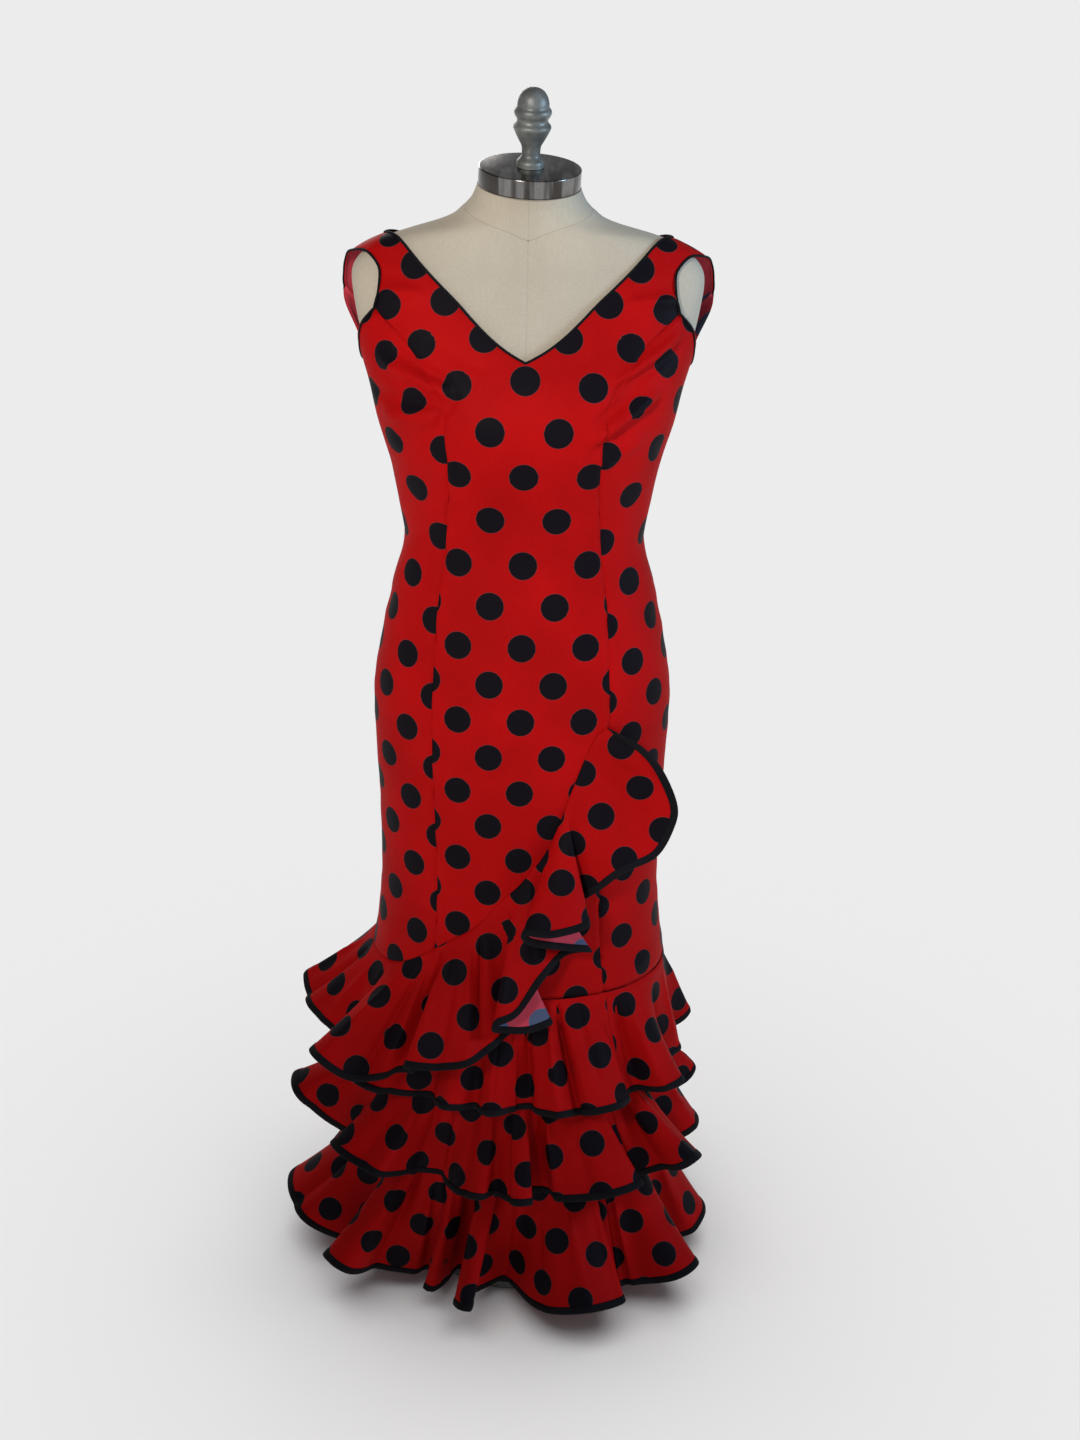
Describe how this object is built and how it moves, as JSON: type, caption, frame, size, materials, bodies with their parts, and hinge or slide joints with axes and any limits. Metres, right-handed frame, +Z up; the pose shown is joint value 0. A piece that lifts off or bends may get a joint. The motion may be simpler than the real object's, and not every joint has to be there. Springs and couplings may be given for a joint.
{
  "type": "flamenco dress on a dress form",
  "caption": "Fitted sleeveless flamenco dress with a V neck, a climbing wrap flounce and tiered skirt flounces, worn by a limbless dress form.",
  "frame": {"origin": "middle of the flat underside of the stand's base plate", "axes": "+Z up along the stand, -Y the way the dress faces, +X the wearer's left"},
  "size_m": [0.6056, 0.5158, 1.5639],
  "materials": {
    "cloth": "smooth woven cotton blend, red with a printed repeat of near-black dots",
    "bias": "black woven bias binding",
    "linen": "plain greige linen, matt",
    "steel": "brushed",
    "silver": "silver paint, satin"
  },
  "bodies": {
    "root": {"form_body": "linen", "base": "silver", "pole": "steel", "neck_cap": "steel", "finial": "silver", "front_centre": "cloth", "front_side_left": "cloth", "front_side_right": "cloth", "back_side_left": "cloth", "back_side_right": "cloth", "back_left": "cloth", "back_right": "cloth", "inner_skirt_front": "cloth", "inner_skirt_back": "cloth", "tier_1_front": "cloth", "tier_1_back": "cloth", "tier_2_front": "cloth", "tier_2_back": "cloth", "tier_3_front": "cloth", "tier_3_back": "cloth", "wrap_flounce": "cloth", "tier_1_binding": "bias", "tier_2_binding": "bias", "tier_3_binding": "bias", "wrap_binding": "bias", "neck_piping": "bias", "armhole_piping_left": "bias", "armhole_piping_right": "bias"}
  },
  "joints": []
}
